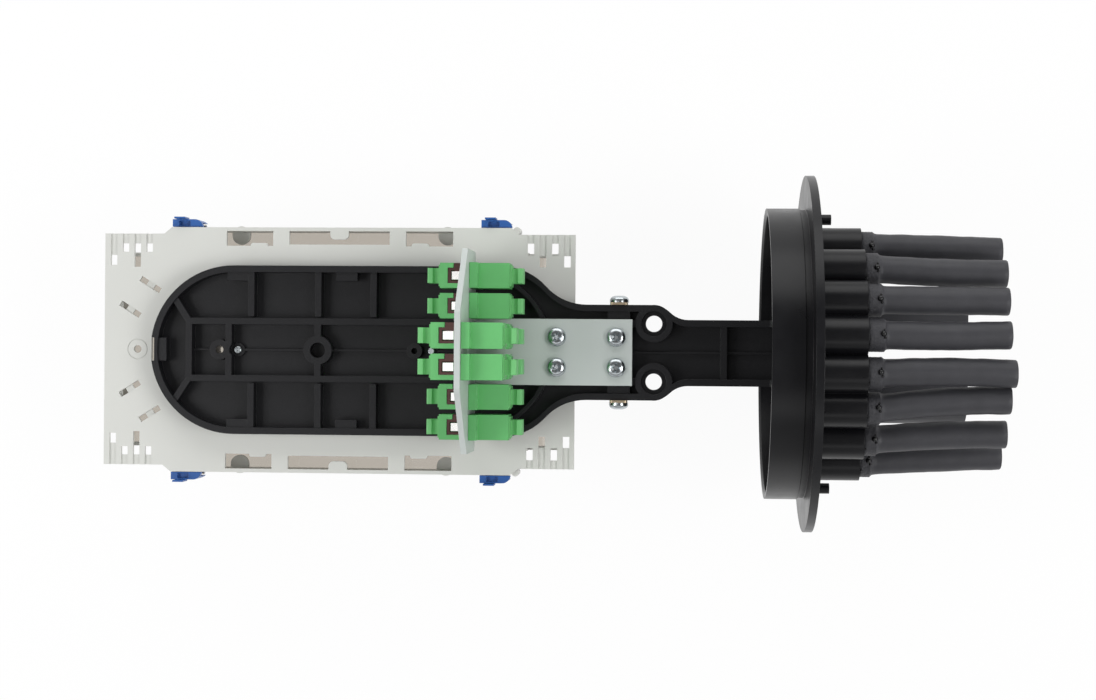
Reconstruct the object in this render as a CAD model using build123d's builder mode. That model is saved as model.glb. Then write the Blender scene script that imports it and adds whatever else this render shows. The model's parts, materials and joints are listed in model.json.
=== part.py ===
"""Inner assembly of a dome fibre splice closure.

The frame has its origin at the centre of the base's flange, on the face that
the dome is pushed against. +X points to the cable ports, +Z to the adapters.
"""

import os
from math import atan2, cos, degrees, dist, radians, sin

from build123d import *

os.makedirs("parts", exist_ok=True)

# Round base: a flange, a sleeve that the dome slides over, and the cable ports
flange_dia = 141.0
flange_thick = 3.2
sleeve_dia = 115.2
sleeve_wall = 2.4
sleeve_length = 15.1
rim_chamfer = 0.8
relief_length = 2.6
relief_depth = 0.6
stop_peg_dia = 4.2
stop_peg_place = 53.3
stop_peg_length = 7.4

# Small cable ports, on a circle, by their angle from +Z
port_circle_dia = 86.6
port_angles = (-74.0, -48.5, -28.0, -9.5, 9.5, 28.0, 48.5, 74.0)
port_dia = 15.2
port_length = 17.8
port_bore = 8.6
nozzle_dia = 10.2
nozzle_length = 4.4

# Two large ports on the far side
wide_port_y = 15.6
wide_port_z = -27.0
wide_port_dia = 27.0
wide_port_bore = 19.4
wide_nozzle_dia = 22.0
wide_tube_dia = 25.0
wide_tube_bore = 19.0
wide_tube_end = 67.0

# Heat-shrink tubes: far end of each, and its sideways lean in degrees
tube_dia = 10.6
tube_bore = 8.0
tube_fit = 0.05
collar_dia = 12.4
collar_length = 4.8
tube_ends = (75.2, 74.4, 74.4, 75.9, 73.8, 73.7, 74.4, 75.2)
tube_leans = (2.7, 2.6, 3.8, 0.2, 0.3, -0.3, -1.7, -1.4)

# Black carrier frame: a racetrack, a neck and a tail that ends in a foot
carrier_depth = 8.0
carrier_floor = 2.0
rim_wall = 2.7
rib_wall = 2.6
rib_drop = 0.8
track_half_width = 34.2
track_left = -263.6
track_shoulder = -120.0
neck_half_width = 19.1
neck_left = -86.0
neck_shoulder = -60.0
tail_half_width = 13.2
tail_left = -45.5
foot_thick = 4.0
foot_top = 13.0
foot_screw_y = 6.0
foot_screw_z = 8.0
foot_screw_length = 12.0
gusset_run = 9.0
gusset_top = 7.6

# Fixing bosses on the neck
mount_hole_dia = 6.6
mount_hole_x = -59.2
mount_hole_pitch = 23.3
mount_boss_dia = 15.0
mount_counterbore_dia = 10.2
mount_counterbore_depth = 3.0

# Ribs and bosses of the carrier frame
inner_frame_left = -249.4
inner_frame_half_width = 12.9
cross_rib_places = (-222.5, -195.0, -172.4)
inner_rib_place = -231.7
diagonal_rib_reach = 22.5
end_rib_radius = 33.0
end_rib_centre = -133.0
end_rib_wall = 1.8
tail_cross_rib = -31.3
centre_rib_wall = 0.9
centre_rib_height = 1.6
peg_boss_x = -235.4
peg_boss_dia = 8.2
peg_boss_hole = 3.2
centre_boss_x = -195.1
centre_boss_dia = 11.6
centre_boss_hole = 6.2
small_boss_x = -155.6
small_boss_dia = 6.4
small_boss_hole = 2.4
fibre_tab_places = (-228.0, -183.3)
fibre_tab_length = 8.6
fibre_tab_reach = 3.4
fibre_tab_thick = 1.2
fibre_tab_lip = 2.6
end_tab_width = 9.4
end_tab_thick = 3.6
end_tab_inset = 2.7
end_notch_depth = 1.4
end_slot_length = 3.8

# Splice tray: a stepped floor plate with a basin wall under it
tray_left = -285.2
tray_right = -91.2
tray_floor = 1.6
tray_half_width = 50.2
tray_end_half_width = 47.5
tray_step_left = -260.6
tray_step_right = -114.0
tray_step_run = 3.3
basin_depth = 10.6
basin_wall = 1.5
basin_end_half_width = 40.2
basin_left = -279.4
basin_right = -96.8
entry_width = 12.0
entry_sill = 2.0
lid_thick = 1.5

# Tie slots and grooves at the tray's four corners
groove_width = 2.7
groove_depth = 0.7
groove_pitch = 4.95
groove_left_first = -281.5
groove_right_first = -94.5
groove_left_reach = (38.7, 43.5, 43.5, 43.5)
groove_left_hole = (4.1, 3.5, 9.7, 3.5)
groove_right_reach = (38.9, 44.0, 38.9, 44.0)
groove_right_hole = (4.6, 5.0, 4.6, 5.0)

# Windows along the tray's long edges, and slots round the racetrack's end
window_side_left = -234.5
window_side_length = 19.3
window_mirror_x = -187.8
window_inner_y = 42.6
window_middle_length = 41.4
window_middle_inner_y = 43.2
window_bump_x = -221.0
window_bump_length = 7.0
window_bump_reach = 1.2
window_bump_corner = 1.0
middle_tab_length = 7.6
middle_tab_reach = 3.4
middle_tab_corner = 2.0

# Fibre tabs on the rim of the basin, under the windows
rim_tab_x = -230.9
rim_tab_width = 7.6
rim_tab_reach = 5.0
rim_tab_thick = 1.4
corner_post_dia = 3.0
corner_post_x = -115.2
corner_post_y = 49.2
corner_post_length = 8.0
slant_slot_length = 9.6
slant_slot_width = 2.4
slant_slot_angle = 32.0
slant_bridge_length = 3.2
slant_bridge_thick = 0.8
slant_slot_places = ((-266.1, 26.5), (-274.5, 16.3))
ear_hole_x = -271.3
ear_hole_dia = 3.2
ear_ring_dia = 8.4
ear_ring_depth = 0.3

# Bend guides and splice holders inside the tray
guide_radius = 24.0
guide_wall = 1.2
guide_height = 9.6
guide_places = (-238.0, -138.0)
holder_length = 40.0
holder_width = 19.0
holder_floor = 1.2
holder_ribs = 9
holder_rib_wall = 0.9
holder_rib_height = 5.0
holder_x = -187.0
holder_y = 11.0

# Blue latches, hinged on the lid's edge and hooked over a ledge on the tray
latch_length = 12.6
latch_places = (-251.3, -123.5)
latch_thick = 1.3
latch_axis_out = 0.75
latch_axis_drop = 1.1
latch_barrel_dia = 2.3
latch_barrel_length = 6.6
latch_pin_dia = 1.2
latch_pin_fit = 0.08
latch_ear_dia = 2.2
latch_ear_thick = 1.4
latch_gap = 0.25
latch_top_drop = 0.4
latch_hook_height = 2.2
latch_raise_length = 7.2
latch_raise_shift = -1.2
latch_raise = 0.7
latch_ramp_length = 3.4
latch_pocket_length = 4.6
latch_pocket_width = 2.0
latch_pocket_depth = 1.5
ledge_gap = 0.3
ledge_reach = 1.5
ledge_height = 1.6

# Sheet-metal bracket
sheet = 2.2
bracket_left = -132.9
bracket_right = -67.8
bracket_foot_half_width = 13.25
bracket_half_width = 39.8
bracket_flat_half_width = 15.0
bracket_top = 55.2
bracket_shoulder = 30.0
bracket_lift = 1.6
bracket_corner = 3.0
bracket_screw_x = (-98.0, -74.2)
bracket_screw_y = 6.05
bracket_screw_hole = 4.2
bracket_screw_length = 7.4
bracket_boss_dia = 8.4

# Adapters, six in the low row and two above the middle of it
adapter_length = 27.3
adapter_width = 9.9
adapter_height = 12.8
adapter_pitch = 11.86
adapter_flange_height = 22.0
adapter_flange_thick = 3.2
adapter_fit = 0.1
rivet_pitch = 18.0
rivet_hole_dia = 2.2
low_row_z = 15.0
high_row_z = 41.8
low_row_count = 6
high_row_count = 2
socket_width = 7.6
socket_height = 9.4
socket_wall = 2.0
key_width = 2.4
key_depth = 0.9
holder_tube_dia = 4.6
holder_tube_length = 12.0
holder_lip = 0.2
ferrule_sleeve_dia = 3.2
ferrule_sleeve_bore = 2.5
ferrule_sleeve_fit = 0.1

# Window in an adapter, and the spring clip that shows in it
window_inset = 3.0
window_length = 6.2
window_width = 6.1
window_depth = 1.3
clip_sheet = 0.3
clip_fit = 0.05
clip_width = 3.9
clip_leg = 8.6
clip_crown_inset = 1.2
clip_crown_length = 4.9
clip_crown_width = 4.0
clip_crown_height = 0.45
clip_crown_slope = 45.0

# Dust caps
cap_gap = 0.2
cap_wall = 1.0
cap_depth = 7.4
cap_collar = 0.6
cap_collar_width = 8.4
cap_collar_height = 11.0
cap_waist_length = 1.0
cap_waist_height = 6.2
cap_rise = 1.5
cap_tab_length = 5.2
cap_tab_width = 5.9
cap_tab_height = 8.8
cap_tab_corner = 0.7

# Pan-head screws
pan_head_dia = 7.8
pan_head_height = 2.8
pan_head_round = 1.7
pan_shank_dia = 3.9
screw_fit = 0.1
recess_width = 1.1
recess_length = 4.2
recess_depth = 1.2

# Strength-member clamps on the sides of the neck
clamp_x = -73.2
clamp_plate_length = 11.6
clamp_plate_height = 7.0
clamp_plate_thick = 1.0
clamp_block_length = 9.0
clamp_screw_length = 8.0

# Small screws that hold the tray to the carrier
tray_screw_places = (-228.6, -149.1)
tray_screw_head_dia = 3.2
tray_screw_head_height = 1.2
tray_screw_shank_dia = 1.8
tray_boss_dia = 5.6
tray_boss_height = 1.4

# Levels and places that follow from the sizes above
sleeve_radius = sleeve_dia / 2
sleeve_inner = sleeve_radius - sleeve_wall
relief_radius = sleeve_radius - relief_depth
port_end = flange_thick + port_length
tray_top = -carrier_depth
floor_top = tray_top + carrier_floor
rib_top = -rib_drop
rib_height = rib_top - floor_top
basin_top = tray_top - tray_floor
basin_bottom = basin_top - basin_depth
lid_bottom = basin_bottom - lid_thick
track_centre = track_left + track_half_width
end_tab_left = track_left + end_tab_inset
tray_boss_top = floor_top + tray_boss_height
flange_left = bracket_left + sheet + adapter_fit
adapter_middle = flange_left + adapter_flange_thick / 2
adapter_left = adapter_middle - adapter_length / 2
adapter_right = adapter_middle + adapter_length / 2
latch_axis_y = tray_half_width + latch_axis_out
latch_axis_z = basin_bottom - latch_axis_drop
latch_inner = latch_axis_y + latch_ear_dia / 2 + latch_gap
latch_outer = latch_inner + latch_thick
latch_top = basin_top - latch_top_drop
latch_hook_bottom = latch_top - latch_hook_height
clamp_z = tray_top / 2


def row_places(count, z):
    """Centres of a row of adapters, in Y and Z."""
    first = -(count - 1) / 2 * adapter_pitch
    return [(first + number * adapter_pitch, z) for number in range(count)]


adapter_places = row_places(low_row_count, low_row_z) + row_places(high_row_count, high_row_z)
port_radius = port_circle_dia / 2
port_places = [
    (port_radius * sin(radians(angle)), port_radius * cos(radians(angle)))
    for angle in port_angles
]
wide_port_places = [(-wide_port_y, wide_port_z), (wide_port_y, wide_port_z)]
foot_screw_places = [(-foot_screw_y, foot_screw_z), (foot_screw_y, foot_screw_z)]
bracket_screw_places = [(x, y) for x in bracket_screw_x for y in (-bracket_screw_y, bracket_screw_y)]
mount_hole_places = [(mount_hole_x, -mount_hole_pitch / 2), (mount_hole_x, mount_hole_pitch / 2)]


def both_ways(x):
    """A place on the tray's long edge, and the same place on the other side of its middle."""
    return (x, 2 * window_mirror_x - x)


def save(piece, name):
    """Label a finished piece and write it as a STEP file."""
    piece.part.label = name
    export_step(piece.part, f"parts/{name}.step")


def s_bend(start, end):
    """Two tangent arcs from one line along X to another, inside a BuildLine."""
    middle = ((start[0] + end[0]) / 2, (start[1] + end[1]) / 2)
    TangentArc(start, middle, tangent=(1, 0))
    TangentArc(end, middle, tangent=(-1, 0))


def carrier_outline(inset, tail_end):
    """The carrier's outline, moved in by an inset, as a sketch."""
    half_track = track_half_width - inset
    half_neck = neck_half_width - inset
    half_tail = tail_half_width - inset
    with BuildSketch() as outline:
        with BuildLine():
            for side in (1, -1):
                Line((track_centre, side * half_track), (track_shoulder, side * half_track))
                s_bend((track_shoulder, side * half_track), (neck_left, side * half_neck))
                Line((neck_left, side * half_neck), (neck_shoulder, side * half_neck))
                s_bend((neck_shoulder, side * half_neck), (tail_left, side * half_tail))
                Line((tail_left, side * half_tail), (tail_end, side * half_tail))
            Line((tail_end, half_tail), (tail_end, -half_tail))
            ThreePointArc(
                (track_centre, half_track),
                (track_centre - half_track, 0),
                (track_centre, -half_track),
            )
        make_face()
    return outline.sketch


def stepped_outline(left, right, end_half):
    """A plate as wide as the tray that is narrower at its two ends, as a sketch."""
    upper = [
        (left, end_half),
        (tray_step_left, end_half),
        (tray_step_left + tray_step_run, tray_half_width),
        (tray_step_right - tray_step_run, tray_half_width),
        (tray_step_right, end_half),
        (right, end_half),
    ]
    lower = [(x, -y) for x, y in reversed(upper)]
    with BuildSketch() as outline:
        with BuildLine():
            Polyline(*upper, *lower, close=True)
        make_face()
    return outline.sketch


# Base
with BuildPart() as base:
    with BuildSketch(Plane.XZ):
        with BuildLine():
            Polyline(
                (flange_thick, 0),
                (flange_thick, flange_dia / 2),
                (0, flange_dia / 2),
                (0, relief_radius),
                (-relief_length, relief_radius),
                (-relief_length, sleeve_radius),
                (-sleeve_length, sleeve_radius),
                (-sleeve_length, sleeve_inner + rim_chamfer),
                (-sleeve_length + rim_chamfer, sleeve_inner),
                (0, sleeve_inner),
                (0, 0),
                close=True,
            )
        make_face()
    revolve(axis=Axis.X)
    with BuildSketch(Plane.YZ):
        with Locations(*port_places):
            Circle(port_bore / 2)
        with Locations(*wide_port_places):
            Circle(wide_port_bore / 2)
        with Locations(*foot_screw_places):
            Circle(pan_shank_dia / 2 + screw_fit)
    extrude(amount=flange_thick, mode=Mode.SUBTRACT)
save(base, "base")

# Ports, stop pegs and screw bosses, moulded on the outside of the base
with BuildPart() as base_ports:
    with BuildSketch(Plane.YZ.offset(flange_thick)):
        with Locations(*port_places):
            Circle(port_dia / 2)
        with Locations(*wide_port_places):
            Circle(wide_port_dia / 2)
    extrude(amount=port_length)
    with BuildSketch(Plane.YZ.offset(port_end)):
        with Locations(*port_places):
            Circle(nozzle_dia / 2)
        with Locations(*wide_port_places):
            Circle(wide_nozzle_dia / 2)
    extrude(amount=nozzle_length)
    with BuildSketch(Plane.YZ.offset(flange_thick)):
        with Locations((stop_peg_place, 0), (-stop_peg_place, 0)):
            Circle(stop_peg_dia / 2)
    extrude(amount=stop_peg_length)
    with BuildSketch(Plane.YZ.offset(flange_thick)):
        with Locations(*foot_screw_places):
            Circle(pan_shank_dia)
    extrude(amount=foot_screw_length)
    with BuildSketch(Plane.YZ.offset(flange_thick)):
        with Locations(*port_places):
            Circle(port_bore / 2)
        with Locations(*wide_port_places):
            Circle(wide_port_bore / 2)
    extrude(amount=port_length + nozzle_length, mode=Mode.SUBTRACT)
    with BuildSketch(Plane.YZ):
        with Locations(*foot_screw_places):
            Circle(pan_shank_dia / 2 + screw_fit)
    extrude(amount=foot_screw_length, mode=Mode.SUBTRACT)
save(base_ports, "base_ports")

def shrink_tube(name, place, end, lean, outer, bore, collar, nozzle):
    """A heat-shrink tube with a wider collar over its port's nozzle."""
    y, z = place
    leaning = Plane(
        origin=(port_end, y, z),
        x_dir=(-sin(radians(lean)), cos(radians(lean)), 0),
        z_dir=(cos(radians(lean)), sin(radians(lean)), 0),
    )
    upright = Plane(origin=(port_end, y, z), x_dir=(0, 1, 0), z_dir=(1, 0, 0))
    socket_end = nozzle_length + tube_fit
    with BuildPart() as tube:
        with BuildSketch(leaning.offset(collar_length - rim_chamfer)):
            Circle(outer / 2)
        extrude(amount=end - port_end - collar_length + rim_chamfer)
        with BuildSketch(upright):
            Circle(collar / 2)
        extrude(amount=collar_length)
        with BuildSketch(leaning.offset(socket_end)):
            Circle(bore / 2)
        extrude(amount=end - port_end, mode=Mode.SUBTRACT)
        with BuildSketch(upright):
            Circle(nozzle / 2 + tube_fit)
        extrude(amount=socket_end, mode=Mode.SUBTRACT)
    save(tube, name)


for number, place in enumerate(port_places):
    shrink_tube(
        f"port_tube_{number + 1}",
        place,
        tube_ends[number],
        tube_leans[number],
        tube_dia,
        tube_bore,
        collar_dia,
        nozzle_dia,
    )
for number, place in enumerate(wide_port_places):
    shrink_tube(
        f"wide_tube_{number + 1}",
        place,
        wide_tube_end,
        0,
        wide_tube_dia,
        wide_tube_bore,
        wide_tube_dia,
        wide_nozzle_dia,
    )

# Carrier frame
carrier_outer = carrier_outline(0, 0)
carrier_inner = carrier_outline(rim_wall, -foot_thick)
long_rib = mount_hole_x - inner_frame_left
long_rib_y = inner_frame_half_width - rib_wall / 2
cross_rib = track_half_width - inner_frame_half_width
cross_rib_y = inner_frame_half_width + cross_rib / 2
diagonal_start = (inner_frame_left + rib_wall / 2, long_rib_y)
diagonal_end = (track_centre - (track_half_width**2 - diagonal_rib_reach**2) ** 0.5, diagonal_rib_reach)
diagonal_angle = degrees(atan2(diagonal_end[1] - diagonal_start[1], diagonal_end[0] - diagonal_start[0]))
diagonal_length = dist(diagonal_start, diagonal_end) - rim_wall / 2
neck_block_y = (neck_half_width - rim_wall + inner_frame_half_width) / 2
tab_y = track_half_width - rim_wall - fibre_tab_reach / 2
tab_top = rib_top - screw_fit
with BuildPart() as carrier_frame:
    with BuildSketch(Plane.XY.offset(tray_top)):
        add(carrier_outer)
    extrude(amount=carrier_depth)
    with BuildSketch(Plane.XY.offset(floor_top)):
        add(carrier_inner)
    extrude(amount=carrier_depth, mode=Mode.SUBTRACT)
    # Ribs stand on the floor, inside the rim
    with BuildSketch(Plane.XY.offset(floor_top)):
        for side in (1, -1):
            with Locations((inner_frame_left + long_rib / 2, side * long_rib_y)):
                Rectangle(long_rib, rib_wall)
            for x in cross_rib_places:
                with Locations((x, side * cross_rib_y)):
                    Rectangle(rib_wall, cross_rib - rim_wall / 2)
            with Locations(
                (
                    (diagonal_start[0] + diagonal_end[0]) / 2,
                    side * (diagonal_start[1] + diagonal_end[1]) / 2,
                )
            ):
                Rectangle(diagonal_length, rib_wall, rotation=side * diagonal_angle)
            with Locations((clamp_x, side * neck_block_y)):
                Rectangle(clamp_block_length, neck_half_width - inner_frame_half_width)
        for x in (inner_frame_left + rib_wall / 2, inner_rib_place, centre_boss_x):
            with Locations((x, 0)):
                Rectangle(rib_wall, 2 * inner_frame_half_width)
        with Locations((tail_cross_rib, 0)):
            Rectangle(rib_wall, 2 * tail_half_width - rim_wall)
    extrude(amount=rib_height)
    with BuildSketch(Plane.XY.offset(floor_top)):
        with Locations((inner_frame_left / 2, 0)):
            Rectangle(-inner_frame_left - foot_thick, centre_rib_wall)
    extrude(amount=centre_rib_height)
    with BuildSketch(Plane.XY.offset(floor_top)):
        with Locations((end_rib_centre, 0)):
            Circle(end_rib_radius)
            Circle(end_rib_radius - end_rib_wall, mode=Mode.SUBTRACT)
        with Locations((end_rib_centre - end_rib_radius / 2, 0)):
            Rectangle(end_rib_radius, 2 * end_rib_radius, mode=Mode.SUBTRACT)
    extrude(amount=rib_height)
    # Bosses
    with BuildSketch(Plane.XY.offset(floor_top)):
        with Locations((peg_boss_x, 0)):
            Circle(peg_boss_dia / 2)
        with Locations((centre_boss_x, 0)):
            Circle(centre_boss_dia / 2)
        with Locations((small_boss_x, 0)):
            Circle(small_boss_dia / 2)
    extrude(amount=rib_height)
    with BuildSketch(Plane.XY.offset(floor_top)):
        with Locations(*bracket_screw_places):
            Circle(bracket_boss_dia / 2)
        with Locations(*mount_hole_places):
            Circle(mount_boss_dia / 2)
    extrude(amount=-floor_top)
    # Wells round the two tray screws, which sit low on the floor
    with BuildSketch(Plane.XY.offset(floor_top)):
        with Locations(*[(x, 0) for x in tray_screw_places]):
            Circle(tray_boss_dia / 2)
    extrude(amount=carrier_depth, mode=Mode.SUBTRACT)
    with BuildSketch(Plane.XY.offset(floor_top)):
        with Locations(*[(x, 0) for x in tray_screw_places]):
            Circle(tray_boss_dia / 2)
    extrude(amount=tray_boss_height)
    # Fibre tabs reach in from the rim, with a lip turned down
    for side in (1, -1):
        with BuildSketch(Plane.XY.offset(tab_top)):
            with Locations(*[(x, side * tab_y) for x in fibre_tab_places]):
                Rectangle(fibre_tab_length, fibre_tab_reach)
        extrude(amount=-fibre_tab_thick)
        with BuildSketch(Plane.XY.offset(tab_top)):
            lip_y = tab_y - fibre_tab_reach / 2 + fibre_tab_thick / 2
            with Locations(*[(x, side * lip_y) for x in fibre_tab_places]):
                Rectangle(fibre_tab_length, fibre_tab_thick)
        extrude(amount=-fibre_tab_lip)
    # End tab, and the notch in the rim beside it
    with BuildSketch(Plane.XY.offset(floor_top)):
        with Locations((end_tab_left + end_tab_thick / 2, 0)):
            Rectangle(end_tab_thick, end_tab_width)
    extrude(amount=rib_height)
    with BuildSketch(Plane.XY.offset(tray_top)):
        with Locations((track_left + end_notch_depth / 2, 0)):
            Rectangle(end_notch_depth, end_tab_width)
    extrude(amount=carrier_depth, mode=Mode.SUBTRACT)
    # Foot plate against the base's floor, with two gussets
    with BuildSketch(Plane.YZ.offset(-foot_thick)):
        with Locations((0, (foot_top + tray_top) / 2)):
            Rectangle(2 * tail_half_width, foot_top - tray_top)
    extrude(amount=foot_thick)
    for y in (tail_half_width, rim_wall - tail_half_width):
        with BuildSketch(Plane.XZ.offset(-y)):
            with BuildLine():
                Polyline(
                    (-foot_thick, floor_top),
                    (-foot_thick - gusset_run, floor_top),
                    (-foot_thick - gusset_run, 0),
                    (-foot_thick, gusset_top),
                    close=True,
                )
            make_face()
        extrude(amount=rim_wall)
    # Holes
    with BuildSketch():
        with Locations(*mount_hole_places):
            Circle(mount_hole_dia / 2)
        with Locations((peg_boss_x, 0)):
            Circle(peg_boss_hole / 2)
        with Locations(*[(x, 0) for x in tray_screw_places]):
            Circle(tray_screw_shank_dia / 2 + screw_fit)
    extrude(amount=-carrier_depth, mode=Mode.SUBTRACT)
    with BuildSketch():
        with Locations(*mount_hole_places):
            Circle(mount_counterbore_dia / 2)
    extrude(amount=-mount_counterbore_depth, mode=Mode.SUBTRACT)
    with BuildSketch():
        with Locations((centre_boss_x, 0)):
            Circle(centre_boss_hole / 2)
        with Locations((small_boss_x, 0)):
            Circle(small_boss_hole / 2)
        with Locations(*bracket_screw_places):
            Circle(pan_shank_dia / 2 + screw_fit)
    extrude(amount=floor_top, mode=Mode.SUBTRACT)
    with BuildSketch(Plane.YZ):
        with Locations(*foot_screw_places):
            Circle(pan_shank_dia / 2 + screw_fit)
    extrude(amount=-foot_thick, mode=Mode.SUBTRACT)
    for side in (1, -1):
        with BuildSketch(Plane(origin=(clamp_x, side * neck_half_width, clamp_z), z_dir=(0, -side, 0))):
            Circle(pan_shank_dia / 2 + screw_fit)
        extrude(amount=clamp_screw_length, mode=Mode.SUBTRACT)
save(carrier_frame, "carrier_frame")

# Splice tray
left_grooves = [
    (groove_left_first + number * groove_pitch, reach, hole)
    for number, (reach, hole) in enumerate(zip(groove_left_reach, groove_left_hole))
]
right_grooves = [
    (groove_right_first - number * groove_pitch, reach, hole)
    for number, (reach, hole) in enumerate(zip(groove_right_reach, groove_right_hole))
]
tray_outline = stepped_outline(tray_left, tray_right, tray_end_half_width)
basin_outline = stepped_outline(basin_left, basin_right, basin_end_half_width)
left_window_x = window_side_left + window_side_length / 2
side_window_places = both_ways(left_window_x)
window_outer_y = tray_half_width - basin_wall
with BuildPart() as splice_tray:
    with BuildSketch(Plane.XY.offset(basin_top)):
        add(tray_outline)
    extrude(amount=tray_floor)
    with BuildSketch(Plane.XY.offset(basin_bottom)):
        add(basin_outline)
        offset(amount=-basin_wall, kind=Kind.INTERSECTION, mode=Mode.SUBTRACT)
    extrude(amount=basin_depth)
    # Bend guides: open half rings near both ends of the basin
    for x, side in zip(guide_places, (-1, 1)):
        with BuildSketch(Plane.XY.offset(basin_top)):
            with Locations((x, 0)):
                Circle(guide_radius)
                Circle(guide_radius - guide_wall, mode=Mode.SUBTRACT)
            with Locations((x - side * guide_radius / 2, 0)):
                Rectangle(guide_radius, 2 * guide_radius, mode=Mode.SUBTRACT)
        extrude(amount=-guide_height)
    # Fibre entries through the narrow ends of the basin wall
    for x in (basin_left + basin_wall + entry_width / 2, basin_right - basin_wall - entry_width / 2):
        with BuildSketch(Plane.XY.offset(basin_bottom + entry_sill)):
            with Locations((x, basin_end_half_width), (x, -basin_end_half_width)):
                Rectangle(entry_width, 4 * basin_wall)
        extrude(amount=basin_depth - entry_sill, mode=Mode.SUBTRACT)
    # Corner grooves and tie slots
    for x, reach, hole in left_grooves + right_grooves:
        for side in (1, -1):
            with BuildSketch(Plane.XY.offset(tray_top)):
                with Locations((x, side * (tray_end_half_width + reach) / 2)):
                    Rectangle(groove_width, tray_end_half_width - reach)
            extrude(amount=-groove_depth, mode=Mode.SUBTRACT)
            with BuildSketch(Plane.XY.offset(tray_top)):
                with Locations((x, side * (reach - hole / 2))):
                    Rectangle(groove_width, hole)
            extrude(amount=-tray_floor, mode=Mode.SUBTRACT)
    # Windows along the long edges
    with BuildSketch(Plane.XY.offset(tray_top)):
        for side in (1, -1):
            with Locations(*[(x, side * (window_inner_y + window_outer_y) / 2) for x in side_window_places]):
                Rectangle(window_side_length, window_outer_y - window_inner_y)
            with Locations((window_mirror_x, side * (window_middle_inner_y + window_outer_y) / 2)):
                Rectangle(window_middle_length, window_outer_y - window_middle_inner_y)
            with Locations(*[(x, side * window_inner_y) for x in both_ways(window_bump_x)]):
                RectangleRounded(
                    window_bump_length,
                    2 * window_bump_reach,
                    window_bump_corner,
                    mode=Mode.SUBTRACT,
                )
            with Locations((window_mirror_x, side * window_outer_y)):
                RectangleRounded(
                    middle_tab_length,
                    2 * middle_tab_reach,
                    middle_tab_corner,
                    mode=Mode.SUBTRACT,
                )
            for x, y in slant_slot_places:
                with Locations((x, side * y)):
                    Rectangle(slant_slot_length, slant_slot_width, rotation=-side * slant_slot_angle)
        with Locations((track_left, 0)):
            Rectangle(end_slot_length, end_tab_width)
        with Locations((ear_hole_x, 0)):
            Circle(ear_hole_dia / 2)
        with Locations((peg_boss_x, 0)):
            Circle(peg_boss_hole / 2)
        with Locations(*[(x, 0) for x in tray_screw_places]):
            Circle(tray_screw_shank_dia / 2 + screw_fit)
    extrude(amount=-tray_floor, mode=Mode.SUBTRACT)
    with BuildSketch(Plane.XY.offset(tray_top)):
        with Locations((ear_hole_x, 0)):
            Circle(ear_ring_dia / 2)
            Circle(ear_ring_dia / 2 - ear_ring_depth, mode=Mode.SUBTRACT)
    extrude(amount=-ear_ring_depth, mode=Mode.SUBTRACT)
    # A thin bridge across each slanted slot, level with the floor's underside
    with BuildSketch(Plane.XY.offset(basin_top)):
        for side in (1, -1):
            for x, y in slant_slot_places:
                with Locations((x, side * y)):
                    Rectangle(slant_bridge_length, 2 * slant_slot_width, rotation=-side * slant_slot_angle)
    extrude(amount=slant_bridge_thick)
    # Round-ended fibre tabs on the basin's rim, and a post at each corner beside the right latches
    rim_tab_straight = rim_tab_reach - rim_tab_width / 2
    for side in (1, -1):
        with BuildSketch(Plane.XY.offset(basin_bottom)):
            for x in both_ways(rim_tab_x):
                with Locations((x, side * (window_outer_y - rim_tab_straight))):
                    Circle(rim_tab_width / 2)
                with Locations((x, side * (window_outer_y - rim_tab_straight / 2 + basin_wall / 4))):
                    Rectangle(rim_tab_width, rim_tab_straight + basin_wall / 2)
        extrude(amount=rim_tab_thick)
        with BuildSketch(Plane.XY.offset(basin_top)):
            with Locations((corner_post_x, side * corner_post_y)):
                Circle(corner_post_dia / 2)
        extrude(amount=-corner_post_length)
    # Ledges that the latches hook over
    ledge_top = latch_hook_bottom - ledge_gap
    for x in latch_places:
        for side in (1, -1):
            with BuildSketch(Plane.XY.offset(ledge_top)):
                with Locations((x, side * (tray_half_width + ledge_reach / 2))):
                    Rectangle(latch_barrel_length, ledge_reach)
            extrude(amount=-ledge_height)
save(splice_tray, "splice_tray")

# Smoked lid of the tray, with ears for the latches
with BuildPart() as tray_lid:
    with BuildSketch(Plane.XY.offset(lid_bottom)):
        add(basin_outline)
    extrude(amount=lid_thick)
    for x in latch_places:
        for side in (1, -1):
            with BuildSketch(Plane.XY.offset(lid_bottom)):
                with Locations((x, side * tray_half_width)):
                    Rectangle(latch_barrel_length + 2 * latch_gap, latch_barrel_dia)
            extrude(amount=lid_thick, mode=Mode.SUBTRACT)
            for end in (1, -1):
                ear_x = x + end * (latch_barrel_length / 2 + latch_gap)
                with BuildSketch(Plane.YZ.offset(ear_x)):
                    with Locations((side * latch_axis_y, latch_axis_z)):
                        Circle(latch_ear_dia / 2)
                    ear_top = basin_bottom - screw_fit
                    ear_bottom = latch_axis_z - latch_ear_dia / 2
                    with Locations((side * (latch_axis_y - latch_ear_dia / 2), (ear_top + ear_bottom) / 2)):
                        Rectangle(latch_ear_dia, ear_top - ear_bottom)
                extrude(amount=end * latch_ear_thick)
                with BuildSketch(Plane.YZ.offset(ear_x)):
                    with Locations((side * latch_axis_y, latch_axis_z)):
                        Circle(latch_pin_dia / 2 + latch_pin_fit)
                extrude(amount=end * latch_ear_thick, mode=Mode.SUBTRACT)
save(tray_lid, "tray_lid")


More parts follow.
